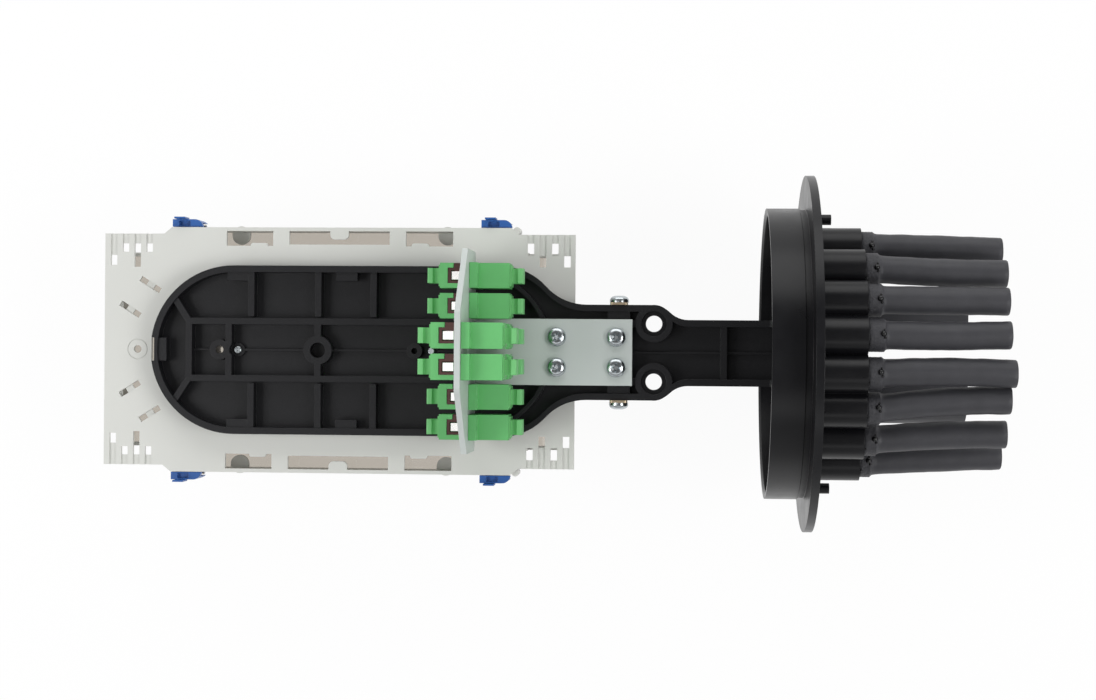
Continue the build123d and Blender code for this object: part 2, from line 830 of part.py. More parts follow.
def latch(name, x, side):
    """A latch: a plate with a hook, a thumb pocket and one rounded end, and a barrel with pins."""
    pin_length = latch_barrel_length + 2 * (latch_gap + latch_ear_thick)
    bottom = latch_axis_z - latch_barrel_dia / 2
    with BuildPart() as clip:
        with BuildSketch(Plane.YZ.offset(x - latch_length / 2)):
            with BuildLine():
                Polyline(
                    (side * latch_inner, bottom + latch_thick),
                    (side * latch_inner, latch_hook_bottom),
                    (side * (tray_half_width + ledge_gap), latch_hook_bottom),
                    (side * (tray_half_width + ledge_gap), latch_top),
                    (side * latch_outer, latch_top),
                    (side * latch_outer, latch_axis_z + latch_thick),
                    (side * (latch_outer - latch_thick / 2), bottom + latch_thick),
                    close=True,
                )
            make_face()
        extrude(amount=latch_length)
        with BuildSketch(Plane.YZ.offset(x - latch_barrel_length / 2)):
            with Locations((side * latch_axis_y, latch_axis_z)):
                Circle(latch_barrel_dia / 2)
            with Locations((side * (latch_axis_y + latch_inner) / 2 + side * latch_thick / 4, latch_axis_z)):
                Rectangle(latch_inner - latch_axis_y + latch_thick / 2, latch_barrel_dia)
        extrude(amount=latch_barrel_length)
        with BuildSketch(Plane.YZ.offset(x - pin_length / 2)):
            with Locations((side * latch_axis_y, latch_axis_z)):
                Circle(latch_pin_dia / 2)
        extrude(amount=pin_length)
        with BuildSketch(Plane(origin=(x, side * latch_outer, latch_top), z_dir=(0, side, 0))):
            with Locations((-side * latch_raise_shift, -latch_hook_height)):
                Rectangle(latch_raise_length, 2 * latch_hook_height)
        extrude(amount=latch_raise)
        pocket_y = side * (latch_inner + latch_thick / 2 - latch_pocket_width / 2)
        with BuildSketch(Plane.XY.offset(latch_top)):
            with Locations((x + latch_raise_shift, pocket_y)):
                Rectangle(latch_pocket_length, latch_pocket_width)
        extrude(amount=-latch_pocket_depth, mode=Mode.SUBTRACT)
        # The end nearer the ports is rounded down to the tray's edge
        with BuildSketch(Plane.XY.offset(latch_top)):
            with BuildLine():
                ramp_start = (x + latch_length / 2 - latch_ramp_length, side * latch_outer)
                ramp_end = (x + latch_length / 2, side * tray_half_width)
                outside = (x + latch_length / 2, side * latch_outer)
                bulge = (
                    ramp_end[0] + (ramp_start[0] - ramp_end[0]) * (1 - cos(radians(45))),
                    ramp_end[1] + (ramp_start[1] - ramp_end[1]) * sin(radians(45)),
                )
                ThreePointArc(ramp_start, bulge, ramp_end)
                Line(ramp_end, outside)
                Line(outside, ramp_start)
            make_face()
        extrude(amount=bottom - latch_top, mode=Mode.SUBTRACT)
    save(clip, name)


latch_names = ("left_front", "left_back", "right_front", "right_back")
latch_spots = [(x, side) for x in latch_places for side in (-1, 1)]
for place_name, (x, side) in zip(latch_names, latch_spots):
    latch(f"latch_{place_name}", x, side)

# Splice holders on the tray's floor
for number, side in enumerate((-1, 1)):
    with BuildPart() as splice_holder:
        with BuildSketch(Plane.XY.offset(basin_top)):
            with Locations((holder_x, side * holder_y)):
                Rectangle(holder_length, holder_width)
        extrude(amount=-holder_floor)
        rib_pitch = (holder_width - holder_rib_wall) / (holder_ribs - 1)
        with BuildSketch(Plane.XY.offset(basin_top - holder_floor)):
            with Locations((holder_x, side * holder_y)):
                with GridLocations(0, rib_pitch, 1, holder_ribs):
                    Rectangle(holder_length, holder_rib_wall)
        extrude(amount=-holder_rib_height)
    save(splice_holder, f"splice_holder_{number + 1}")

# Bracket: a foot on the carrier and an upright plate for the adapters
with BuildPart() as adapter_bracket:
    with BuildSketch():
        foot_length = bracket_right - bracket_left
        with Locations((bracket_left + foot_length / 2, 0)):
            Rectangle(foot_length, 2 * bracket_foot_half_width)
    extrude(amount=sheet)
    with BuildSketch(Plane.YZ.offset(bracket_left)) as upright:
        with BuildLine():
            Polyline(
                (-bracket_half_width, bracket_lift),
                (bracket_half_width, bracket_lift),
                (bracket_half_width, bracket_shoulder),
                (bracket_flat_half_width, bracket_top),
                (-bracket_flat_half_width, bracket_top),
                (-bracket_half_width, bracket_shoulder),
                close=True,
            )
        make_face()
        fillet(upright.vertices(), bracket_corner)
        with Locations((0, sheet)):
            Rectangle(2 * bracket_foot_half_width, 2 * sheet)
        with Locations(*adapter_places):
            Rectangle(adapter_width + 2 * adapter_fit, adapter_height + 2 * adapter_fit, mode=Mode.SUBTRACT)
            with Locations((0, rivet_pitch / 2), (0, -rivet_pitch / 2)):
                Circle(rivet_hole_dia / 2, mode=Mode.SUBTRACT)
    extrude(amount=sheet)
    with BuildSketch():
        with Locations(*bracket_screw_places):
            Circle(bracket_screw_hole / 2)
    extrude(amount=sheet, mode=Mode.SUBTRACT)
    fold = adapter_bracket.edges().filter_by(Axis.Y).group_by(Axis.X)[0].sort_by(Axis.Z)[0]
    fillet(fold, sheet - screw_fit)
save(adapter_bracket, "adapter_bracket")


def adapter(name, place):
    """A through adapter with a flange, a socket at each end and a window on top."""
    y, z = place
    top = z + adapter_height / 2
    window_left = adapter_left + window_inset
    clip_left = window_left + window_length - clip_width
    groove = clip_sheet + clip_fit
    with BuildPart() as body:
        with BuildSketch(Plane.YZ.offset(adapter_left)):
            with Locations(place):
                Rectangle(adapter_width, adapter_height)
        extrude(amount=adapter_length)
        with BuildSketch(Plane.YZ.offset(flange_left)):
            with Locations(place):
                Rectangle(adapter_width, adapter_flange_height)
                with Locations((0, rivet_pitch / 2), (0, -rivet_pitch / 2)):
                    Circle(rivet_hole_dia / 2, mode=Mode.SUBTRACT)
        extrude(amount=adapter_flange_thick)
        socket_depth = (adapter_length - socket_wall) / 2
        for end, inward in ((adapter_left, 1), (adapter_right, -1)):
            with BuildSketch(Plane.YZ.offset(end)):
                with Locations(place):
                    Rectangle(socket_width, socket_height)
                with Locations((y, z - socket_height / 2)):
                    Rectangle(key_width, 2 * key_depth)
            extrude(amount=inward * socket_depth, mode=Mode.SUBTRACT)
        # Tube that holds the alignment sleeve, with a lip at each end
        holder_left = adapter_middle - holder_tube_length / 2
        with BuildSketch(Plane.YZ.offset(holder_left)):
            with Locations(place):
                Circle(holder_tube_dia / 2)
        extrude(amount=holder_tube_length)
        with BuildSketch(Plane.YZ.offset(holder_left)):
            with Locations(place):
                Circle(ferrule_sleeve_bore / 2)
        extrude(amount=holder_tube_length, mode=Mode.SUBTRACT)
        with BuildSketch(Plane.YZ.offset(holder_left + holder_lip)):
            with Locations(place):
                Circle(ferrule_sleeve_dia / 2 + ferrule_sleeve_fit)
        extrude(amount=holder_tube_length - 2 * holder_lip, mode=Mode.SUBTRACT)
        # Window in the top, and grooves for the clip's two legs
        with BuildSketch(Plane.XY.offset(top)):
            with Locations((window_left + window_length / 2, y)):
                Rectangle(window_length, window_width)
            with Locations((clip_left + clip_width / 2, y + adapter_width / 4)):
                Rectangle(clip_width, adapter_width / 2)
        extrude(amount=-window_depth, mode=Mode.SUBTRACT)
        with BuildSketch(Plane.XY.offset(top - window_depth)):
            with Locations((clip_left + clip_width / 2, y)):
                Rectangle(clip_width, adapter_width)
        extrude(amount=groove, mode=Mode.SUBTRACT)
        with BuildSketch(Plane.XY.offset(top - window_depth - clip_leg)):
            with Locations((clip_left + clip_width / 2, y)):
                Rectangle(clip_width, adapter_width)
                Rectangle(clip_width, adapter_width - 2 * groove, mode=Mode.SUBTRACT)
        extrude(amount=clip_leg + groove, mode=Mode.SUBTRACT)
    save(body, name)


for number, place in enumerate(adapter_places):
    adapter(f"adapter_{number + 1}", place)

# Spring clips, one pressed into each adapter
with BuildPart() as adapter_clips:
    clip_left = adapter_left + window_inset + window_length - clip_width
    for y, z in adapter_places:
        web_bottom = z + adapter_height / 2 - window_depth
        leg_width = clip_width - 2 * clip_fit
        with BuildSketch(Plane.XY.offset(web_bottom)):
            with Locations((clip_left + clip_width / 2, y)):
                Rectangle(leg_width, adapter_width - 2 * clip_fit)
            with Locations((clip_left + clip_width - clip_fit - window_length / 2 + clip_fit, y)):
                Rectangle(window_length - 2 * clip_fit, window_width - 2 * clip_fit)
        extrude(amount=clip_sheet)
        crown_x = adapter_left + window_inset + clip_crown_inset + clip_crown_length / 2
        with BuildSketch(Plane.XY.offset(web_bottom + clip_sheet)):
            with Locations((crown_x, y)):
                Rectangle(clip_crown_length, clip_crown_width)
        extrude(amount=clip_crown_height, taper=clip_crown_slope)
        with BuildSketch(Plane.XY.offset(web_bottom - clip_leg + clip_fit)):
            with Locations((clip_left + clip_width / 2, y)):
                Rectangle(leg_width, adapter_width - 2 * clip_fit)
                Rectangle(leg_width, adapter_width - 2 * clip_fit - 2 * clip_sheet, mode=Mode.SUBTRACT)
        extrude(amount=clip_leg)
save(adapter_clips, "adapter_clips")

# Ceramic sleeves that align the ferrules, one trapped in each adapter
with BuildPart() as alignment_sleeves:
    sleeve_end = holder_lip + ferrule_sleeve_fit
    with BuildSketch(Plane.YZ.offset(adapter_middle - holder_tube_length / 2 + sleeve_end)):
        with Locations(*adapter_places):
            Circle(ferrule_sleeve_dia / 2)
            Circle(ferrule_sleeve_bore / 2, mode=Mode.SUBTRACT)
    extrude(amount=holder_tube_length - 2 * sleeve_end)
save(alignment_sleeves, "alignment_sleeves")


def dust_cap(name, place, end, out):
    """A dust cap: a hollow plug, a collar, and a finger tab with a waist."""
    y, z = place
    handle = Plane(origin=(end, y, z), x_dir=(out, 0, 0), z_dir=(0, -out, 0))
    waist = cap_waist_height / 2
    tab = cap_tab_height / 2
    waist_end = cap_collar + cap_waist_length
    rise_end = waist_end + cap_rise
    corner_start = cap_tab_length - cap_tab_corner
    with BuildPart() as cap:
        with BuildSketch(Plane.YZ.offset(end)):
            with Locations(place):
                Rectangle(socket_width - 2 * cap_gap, socket_height - 2 * cap_gap)
        extrude(amount=-out * cap_depth)
        with BuildSketch(Plane.YZ.offset(end - out * cap_depth)):
            with Locations(place):
                Rectangle(
                    socket_width - 2 * cap_gap - 2 * cap_wall,
                    socket_height - 2 * cap_gap - 2 * cap_wall,
                )
        extrude(amount=out * (cap_depth - cap_wall), mode=Mode.SUBTRACT)
        with BuildSketch(Plane.YZ.offset(end)):
            with Locations(place):
                Rectangle(cap_collar_width, cap_collar_height)
        extrude(amount=out * cap_collar)
        with BuildSketch(handle):
            with BuildLine():
                for side in (1, -1):
                    Line((cap_collar, side * waist), (waist_end, side * waist))
                    TangentArc((waist_end, side * waist), (rise_end, side * tab), tangent=(1, 0))
                    Line((rise_end, side * tab), (corner_start, side * tab))
                    corner_end = (cap_tab_length, side * (tab - cap_tab_corner))
                    TangentArc((corner_start, side * tab), corner_end, tangent=(1, 0))
                Line((cap_collar, waist), (cap_collar, -waist))
                Line((cap_tab_length, tab - cap_tab_corner), (cap_tab_length, cap_tab_corner - tab))
            make_face()
        extrude(amount=cap_tab_width / 2, both=True)
    save(cap, name)


for number, place in enumerate(adapter_places):
    dust_cap(f"cap_left_{number + 1}", place, adapter_left, -1)
    dust_cap(f"cap_right_{number + 1}", place, adapter_right, 1)


def pan_screw(head_dia, head_height, head_round, shank_dia, shank_length, recess):
    """A cross-head screw at the origin, its head above the XY plane."""
    with BuildPart() as screw:
        with BuildSketch():
            Circle(head_dia / 2)
        extrude(amount=head_height)
        fillet(screw.edges().group_by(Axis.Z)[-1], head_round)
        with BuildSketch(Plane.XY.offset(head_height)):
            Rectangle(recess * recess_length, recess * recess_width)
            Rectangle(recess * recess_width, recess * recess_length)
        extrude(amount=-recess * recess_depth, mode=Mode.SUBTRACT)
        with BuildSketch():
            Circle(shank_dia / 2)
        extrude(amount=-shank_length)
    return screw.part


def screw_set(name, screw, planes):
    """Copies of one screw on the given planes, as separate solids of one piece."""
    with BuildPart() as screws:
        with Locations(*planes):
            add(screw)
    save(screws, name)


def pan_screw_of(length):
    """A full-size screw with a shank of the given length."""
    return pan_screw(pan_head_dia, pan_head_height, pan_head_round, pan_shank_dia, length, 1)


screw_set(
    "bracket_screws",
    pan_screw_of(bracket_screw_length),
    [Plane(origin=(x, y, sheet)) for x, y in bracket_screw_places],
)
screw_set(
    "foot_screws",
    pan_screw_of(foot_screw_length),
    [Plane(origin=(-foot_thick, y, z), z_dir=(-1, 0, 0)) for y, z in foot_screw_places],
)
clamp_face = neck_half_width + clamp_plate_thick
screw_set(
    "clamp_screws",
    pan_screw_of(clamp_screw_length),
    [Plane(origin=(clamp_x, side * clamp_face, clamp_z), z_dir=(0, side, 0)) for side in (1, -1)],
)
small_screw = pan_screw(
    tray_screw_head_dia,
    tray_screw_head_height,
    tray_screw_head_height / 2,
    tray_screw_shank_dia,
    tray_boss_top - basin_top,
    tray_screw_head_dia / pan_head_dia,
)
screw_set(
    "tray_screws",
    small_screw,
    [Plane(origin=(x, 0, tray_boss_top)) for x in tray_screw_places],
)

# Clamp plates under the two screws on the neck's sides
with BuildPart() as clamp_plates:
    for side in (1, -1):
        with BuildSketch(Plane(origin=(clamp_x, side * neck_half_width, clamp_z), z_dir=(0, side, 0))):
            RectangleRounded(clamp_plate_length, clamp_plate_height, clamp_plate_thick)
            Circle(pan_shank_dia / 2 + screw_fit, mode=Mode.SUBTRACT)
        extrude(amount=clamp_plate_thick)
save(clamp_plates, "clamp_plates")
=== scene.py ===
"""Finishes and fine detail for the inner assembly of a dome fibre splice closure."""

import json
from math import cos, pi, radians, sin

import bpy
from bpy.props import FloatProperty, FloatVectorProperty, IntProperty, PointerProperty
from mathutils import Matrix, Vector


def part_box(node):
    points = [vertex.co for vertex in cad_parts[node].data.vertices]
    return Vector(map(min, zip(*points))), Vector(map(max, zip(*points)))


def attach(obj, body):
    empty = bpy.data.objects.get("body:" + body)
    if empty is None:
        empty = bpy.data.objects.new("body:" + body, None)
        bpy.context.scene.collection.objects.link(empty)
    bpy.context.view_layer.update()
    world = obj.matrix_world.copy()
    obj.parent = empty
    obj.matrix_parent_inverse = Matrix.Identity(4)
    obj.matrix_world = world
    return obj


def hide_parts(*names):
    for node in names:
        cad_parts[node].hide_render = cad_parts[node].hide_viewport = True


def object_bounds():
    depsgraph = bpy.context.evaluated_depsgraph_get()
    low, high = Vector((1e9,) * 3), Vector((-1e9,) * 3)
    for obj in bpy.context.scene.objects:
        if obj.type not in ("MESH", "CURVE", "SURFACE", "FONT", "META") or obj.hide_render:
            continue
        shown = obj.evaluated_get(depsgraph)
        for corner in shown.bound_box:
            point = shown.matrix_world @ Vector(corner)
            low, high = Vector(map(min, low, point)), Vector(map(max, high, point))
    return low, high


bl_info = {
    "name": "Fibre splice closure",
    "version": (1, 0, 0),
    "blender": (4, 5, 0),
    "location": "View3D > Sidebar > Closure",
    "description": "Dresses the packed model of a fibre splice closure",
    "category": "Object",
}

MM = 0.001
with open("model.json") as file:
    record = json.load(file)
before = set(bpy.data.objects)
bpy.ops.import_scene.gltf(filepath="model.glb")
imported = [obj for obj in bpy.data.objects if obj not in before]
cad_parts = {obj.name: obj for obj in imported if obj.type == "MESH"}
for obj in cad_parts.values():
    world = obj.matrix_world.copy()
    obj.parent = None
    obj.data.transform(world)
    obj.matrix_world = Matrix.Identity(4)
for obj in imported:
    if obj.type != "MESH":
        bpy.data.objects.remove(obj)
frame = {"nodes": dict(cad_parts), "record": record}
NODES = frame["nodes"]
CAD_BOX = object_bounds()
BODY = "closure"

# Tubes 1 to 8, in millimetres: how far each bows sideways, and how much longer than usual its collar is.
BOWS = (0.2, 0.6, 0.9, 0.7, -0.3, 0.1, -0.4, 0.2)
COLLAR_EXTRAS = (-0.8, -0.3, 0.1, 0.4, 1.3, 0.5, 0.1, -0.2)
COLLAR_RINGS = 10
BORE_RINGS = 12

# How far each screw was turned when it was driven home, in degrees.
BRACKET_SCREW_TURNS = (20, 66, -8, 38)
CLAMP_SCREW_TURNS = (12, 40)

# Each soft lamp: its name, its place, its length and width in metres, and the stage value with its power.
LAMPS = (
    ("left_softbox", (-0.9, -0.16, 0.8), 0.6, 0.6, "end_lamp"),
    ("right_softbox", (0.7, -0.16, 0.8), 0.6, 0.6, "end_lamp"),
    ("wide_softbox", (-0.1, 0.95, 0.45), 1.5, 0.8, "wide_lamp"),
    ("side_softbox", (-0.1, -0.6, 0.72), 1.0, 0.25, "side_lamp"),
    ("top_softbox", (-0.244, 0, 0.76), 0.16, 0.22, "top_lamp"),
)
LAMP_AIM = Vector((-0.1, 0, 0))
FLOOR_SIZE = 8
FLOOR_GAP = 0.05 * MM

# Most values of a noise texture lie between these two, so a pattern is stretched from them.
NOISE_RANGE = {"From Min": 0.3, "From Max": 0.7}
WHITE = (1, 1, 1, 1)


def linear(hex_colour):
    """The linear colour of an sRGB hex value."""
    channels = [int(hex_colour[place : place + 2], 16) / 255 for place in (1, 3, 5)]
    return tuple(c / 12.92 if c <= 0.04045 else ((c + 0.055) / 1.055) ** 2.4 for c in channels)


def colour_property(title, about, hex_colour):
    """A colour that a user can change."""
    return FloatVectorProperty(
        name=title, description=about, subtype="COLOR", size=3, min=0, max=1, default=linear(hex_colour)
    )


def size_property(title, about, millimetres):
    """A length that a user can change, kept in metres."""
    return FloatProperty(name=title, description=about, unit="LENGTH", precision=5, default=millimetres * MM)


def angle_property(title, about, angle):
    """An angle that a user can change, in radians."""
    return FloatProperty(name=title, description=about, unit="ROTATION", default=angle)


def power_property(title, about, watts):
    """A lamp's power that a user can change."""
    return FloatProperty(name=title, description=about, unit="POWER", min=0, default=watts)


class ClosureColours(bpy.types.PropertyGroup):
    """Colours of the closure's materials."""

    base: colour_property("Base", "Moulded base and ports", "#131316")
    carrier: colour_property("Carrier", "Moulded carrier frame", "#141417")
    tube: colour_property("Shrink tube", "Heat-shrink tubing", "#3B3B3F")
    glue: colour_property("Glue", "Hot-melt adhesive at the collars", "#101012")
    tray: colour_property("Tray", "Splice tray", "#D7D8D3")
    lid: colour_property("Lid", "Smoked tray lid", "#BCB5AB")
    holder: colour_property("Holders", "Splice holders in the tray", "#E2E2DD")
    latch: colour_property("Latches", "Blue latches", "#2A5DA5")
    bracket: colour_property("Bracket", "Powder coat on the bracket", "#C7CECB")
    adapter: colour_property("Adapters", "Green adapter bodies", "#6CC175")
    cap: colour_property("Dust caps", "Green dust caps", "#73C379")
    # Painted light on the clips: the crowns' near-white is a painted reflection, and the webs' dark brown is
    # painted shade.
    steel: colour_property("Clip crowns", "Polished crowns of the adapters' clips", "#F2F1EE")
    painted_shade: colour_property("Clip webs", "Lower faces of the adapters' clips", "#4F3C39")
    ceramic: colour_property("Sleeves", "Ceramic alignment sleeves", "#F1F0EA")
    zinc: colour_property("Screws", "Zinc-plated screws", "#BDC3C6")
    passivated: colour_property("Clamp plates", "Yellow passivated plates", "#CDBBA0")
    floor: colour_property("Floor", "Floor under the closure", "#FFFFFF")


class ClosureTubes(bpy.types.PropertyGroup):
    """Sizes of the heat-shrink tubes."""

    rings: IntProperty(name="Rings", description="Rings along a tube", default=30, min=8)
    sides: IntProperty(name="Sides", description="Corners round a tube", default=48, min=12)
    outer: size_property("Outer radius", "Outer radius of a shrunk tube", 5.3)
    bore: size_property("Bore radius", "Inner radius of a shrunk tube", 4.0)
    collar: size_property("Collar radius", "Outer radius over the port's nozzle", 6.2)
    nozzle: size_property("Socket radius", "Inner radius over the port's nozzle", 5.15)
    collar_length: size_property("Collar length", "Length of the wide part", 4.8)
    socket: size_property("Socket depth", "Depth of the wide part of the bore", 4.45)
    ripple: size_property("Ripple", "Height of the slow ripples in the wall", 0.5)
    crinkle: size_property("Crinkle", "Height of the small wrinkles on the collar", 0.5)


class ClosureScrews(bpy.types.PropertyGroup):
    """Sizes of the pan-head screws."""

    sides: IntProperty(name="Sides", description="Corners round a screw", default=40, min=12)
    head_height: size_property("Head height", "Height of the pan head", 2.8)
    rim: size_property("Head rim", "Height of the upright rim below the dome", 0.8)
    shank: size_property("Shank radius", "Radius of the shank", 1.95)
    recess: size_property("Recess", "Reach of the cross recess across the head", 4.4)
    blade: size_property("Blade", "Width of each arm of the cross", 0.95)
    depth: size_property("Recess depth", "Depth of the cross recess", 1.7)


class ClosureStage(bpy.types.PropertyGroup):
    """Camera, floor and lights."""

    lens: FloatProperty(name="Lens", description="Focal length in millimetres", unit="CAMERA", default=61.17)
    camera_height: size_property("Camera height", "Height of the camera above the carrier", 744.93)
    camera_x: size_property("Camera X", "Place of the camera along the closure", -50.5)
    camera_y: size_property("Camera Y", "Place of the camera across the closure", -0.76)
    tilt: angle_property("Tilt", "Tilt along the closure", 0.0684)
    nod: angle_property("Nod", "Tilt across the closure", 0.0021)
    roll: angle_property("Roll", "Turn of the picture", 0.0077)
    zenith: FloatProperty(name="Zenith", description="Strength of the sky straight above", default=0.15)
    horizon: FloatProperty(name="Horizon", description="Strength of the sky near the floor", default=0.5)
    end_lamp: power_property("End lamps", "Power of the lamp at each end", 5.0)
    wide_lamp: power_property("Wide lamp", "Power of the low wide lamp", 5.7)
    side_lamp: power_property("Side lamp", "Power of the narrow side lamp", 0.6)
    top_lamp: power_property("Top lamp", "Power of the small lamp above the clips", 0.14)
    floor_glow: FloatProperty(
        name="Floor glow",
        description="Share of plain white in the floor",
        subtype="FACTOR",
        min=0,
        max=1,
        default=0.93,
    )


class ClosureSettings(bpy.types.PropertyGroup):
    """Everything a user may change."""

    colours: PointerProperty(type=ClosureColours)
    tubes: PointerProperty(type=ClosureTubes)
    screws: PointerProperty(type=ClosureScrews)
    stage: PointerProperty(type=ClosureStage)


def settings():
    """The scene's closure settings."""
    return bpy.context.scene.closure


def add_node(tree, kind, output, inputs, **options):
    """Add a shader node with its options, values and links, and give one output, or the node for None."""
    node = tree.nodes.new("ShaderNode" + kind)
    for name, value in options.items():
        setattr(node, name, value)
    for name, value in inputs.items():
        if isinstance(value, bpy.types.NodeSocket):
            tree.links.new(value, node.inputs[name])
        else:
            node.inputs[name].default_value = value
    return node if output is None else node.outputs[output]


def rgba(colour):
    """A colour with full opacity."""
    return (*colour, 1.0)


def tones(colour, depth):
    """Both ends of a mottled colour, as a Mix node's inputs: a share darker and a share lighter."""
    darker = tuple(c * (1 - depth) for c in colour)
    lighter = tuple(min(1, c * (1 + depth)) for c in colour)
    return {6: rgba(darker), 7: rgba(lighter)}


def new_material(name):
    """A material with an empty node tree, and the coordinates its patterns use."""
    material = bpy.data.materials.new(name)
    material.use_nodes = True
    tree = material.node_tree
    tree.nodes.clear()
    return material, tree, add_node(tree, "TexCoord", "Object", {})


def close_material(tree, surface):
    """End a material with its surface's values and links."""
    shader = add_node(tree, "BsdfPrincipled", "BSDF", surface)
    add_node(tree, "OutputMaterial", None, {"Surface": shader})


def glass_filled_polypropylene(colour):
    """Black glass-filled polypropylene, injection moulded.

    It has a shiny skin with a faint flow mottle, and edges with a small radius that catch the light.
    """
    material, tree, place = new_material("glass_filled_polypropylene")
    mottle = add_node(
        tree, "TexNoise", "Fac", {"Vector": place, "Scale": 1 / (9 * MM), "Detail": 4, "Roughness": 0.6}
    )
    skin = add_node(
        tree, "TexNoise", "Fac", {"Vector": place, "Scale": 1 / (0.7 * MM), "Detail": 3, "Roughness": 0.6}
    )
    tint = add_node(tree, "Mix", 2, {"Factor": mottle, **tones(colour, 0.18)}, data_type="RGBA")
    gloss = add_node(
        tree, "MapRange", "Result", {"Value": mottle, **NOISE_RANGE, "To Min": 0.27, "To Max": 0.35}
    )
    edges = add_node(tree, "Bevel", "Normal", {"Radius": 0.3 * MM}, samples=6)
    relief = add_node(tree, "Bump", "Normal", {"Height": skin, "Distance": 0.01 * MM, "Normal": edges})
    close_material(
        tree, {"Base Color": tint, "Roughness": gloss, "Specular IOR Level": 0.34, "Normal": relief}
    )
    return material


def spark_eroded_abs(colour):
    """Black ABS from a spark-eroded mould.

    Its fine grain looks dull. The grain is drawn a little coarse, so that it shows.
    """
    material, tree, place = new_material("spark_eroded_abs")
    pits = add_node(
        tree, "TexNoise", "Fac", {"Vector": place, "Scale": 1 / (0.62 * MM), "Detail": 5, "Roughness": 0.7}
    )
    mottle = add_node(
        tree, "TexNoise", "Fac", {"Vector": place, "Scale": 1 / (7 * MM), "Detail": 4, "Roughness": 0.6}
    )
    tint = add_node(tree, "Mix", 2, {"Factor": pits, **tones(colour, 0.45)}, data_type="RGBA")
    gloss = add_node(
        tree, "MapRange", "Result", {"Value": mottle, **NOISE_RANGE, "To Min": 0.42, "To Max": 0.52}
    )
    edges = add_node(tree, "Bevel", "Normal", {"Radius": 0.3 * MM}, samples=6)
    relief = add_node(tree, "Bump", "Normal", {"Height": pits, "Distance": 0.05 * MM, "Normal": edges})
    close_material(
        tree, {"Base Color": tint, "Roughness": gloss, "Specular IOR Level": 0.34, "Normal": relief}
    )
    return material


def shrunk_polyolefin(colour):
    """Heat-shrunk polyolefin: matt, with faint lengthwise streaks, and creased where it grips the port."""
    material, tree, place = new_material("shrunk_polyolefin")
    drawn = add_node(tree, "Mapping", "Vector", {"Vector": place, "Scale": (0.12, 1, 1)})
    streaks = add_node(
        tree, "TexNoise", "Fac", {"Vector": drawn, "Scale": 1 / (1.6 * MM), "Detail": 5, "Roughness": 0.65}
    )
    mottle = add_node(
        tree, "TexNoise", "Fac", {"Vector": place, "Scale": 1 / (6 * MM), "Detail": 4, "Roughness": 0.6}
    )
    wrinkles = add_node(
        tree, "TexNoise", "Fac", {"Vector": place, "Scale": 1 / (0.9 * MM), "Detail": 4, "Roughness": 0.7}
    )
    along = add_node(tree, "SeparateXYZ", "X", {"Vector": place})
    port_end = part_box("port_tube_1")[0][0]
    collar = add_node(
        tree,
        "MapRange",
        "Result",
        {
            "Value": along,
            "From Min": port_end + 4.5 * MM,
            "From Max": port_end + 6.5 * MM,
            "To Min": 1,
            "To Max": 0,
        },
    )
    creases = add_node(tree, "Math", 0, {0: wrinkles, 1: collar}, operation="MULTIPLY")
    tint = add_node(tree, "Mix", 2, {"Factor": mottle, **tones(colour, 0.22)}, data_type="RGBA")
    gloss = add_node(
        tree, "MapRange", "Result", {"Value": streaks, **NOISE_RANGE, "To Min": 0.42, "To Max": 0.62}
    )
    drawn_lines = add_node(tree, "Bump", "Normal", {"Height": streaks, "Distance": 0.06 * MM})
    relief = add_node(
        tree, "Bump", "Normal", {"Height": creases, "Distance": 0.35 * MM, "Normal": drawn_lines}
    )
    close_material(
        tree, {"Base Color": tint, "Roughness": gloss, "Specular IOR Level": 0.42, "Normal": relief}
    )
    return material


def hot_melt(colour):
    """Black hot-melt adhesive that flowed out from under the tube: smooth and shiny."""
    material, tree, place = new_material("hot_melt")
    skin = add_node(
        tree, "TexNoise", "Fac", {"Vector": place, "Scale": 1 / (0.8 * MM), "Detail": 2, "Roughness": 0.6}
    )
    tint = add_node(tree, "Mix", 2, {"Factor": skin, **tones(colour, 0.2)}, data_type="RGBA")
    relief = add_node(tree, "Bump", "Normal", {"Height": skin, "Distance": 0.02 * MM})
    close_material(tree, {"Base Color": tint, "Roughness": 0.16, "Normal": relief})
    return material


def pale_abs(name, colour, roughness):
    """Pale ABS, injection moulded: satin, with very faint flow marks."""
    material, tree, place = new_material(name)
    flow = add_node(
        tree, "TexNoise", "Fac", {"Vector": place, "Scale": 1 / (24 * MM), "Detail": 2, "Roughness": 0.6}
    )
    skin = add_node(
        tree, "TexNoise", "Fac", {"Vector": place, "Scale": 1 / (0.8 * MM), "Detail": 3, "Roughness": 0.6}
    )
    tint = add_node(tree, "Mix", 2, {"Factor": flow, **tones(colour, 0.025)}, data_type="RGBA")
    gloss = add_node(
        tree,
        "MapRange",
        "Result",
        {"Value": flow, **NOISE_RANGE, "To Min": roughness - 0.03, "To Max": roughness + 0.05},
    )
    relief = add_node(tree, "Bump", "Normal", {"Height": skin, "Distance": 0.006 * MM})
    close_material(tree, {"Base Color": tint, "Roughness": gloss, "Normal": relief})
    return material


def smoked_polycarbonate(colour):
    """Smoked polycarbonate sheet: clear and glossy, brown where it is looked through."""
    material, tree, place = new_material("smoked_polycarbonate")
    waviness = add_node(
        tree, "TexNoise", "Fac", {"Vector": place, "Scale": 1 / (14 * MM), "Detail": 1, "Roughness": 0.6}
    )
    relief = add_node(tree, "Bump", "Normal", {"Height": waviness, "Distance": 0.02 * MM})
    surface = {"Roughness": 0.06, "IOR": 1.58, "Transmission Weight": 1.0, "Normal": relief}
    close_material(tree, {"Base Color": rgba(colour), **surface})
    return material


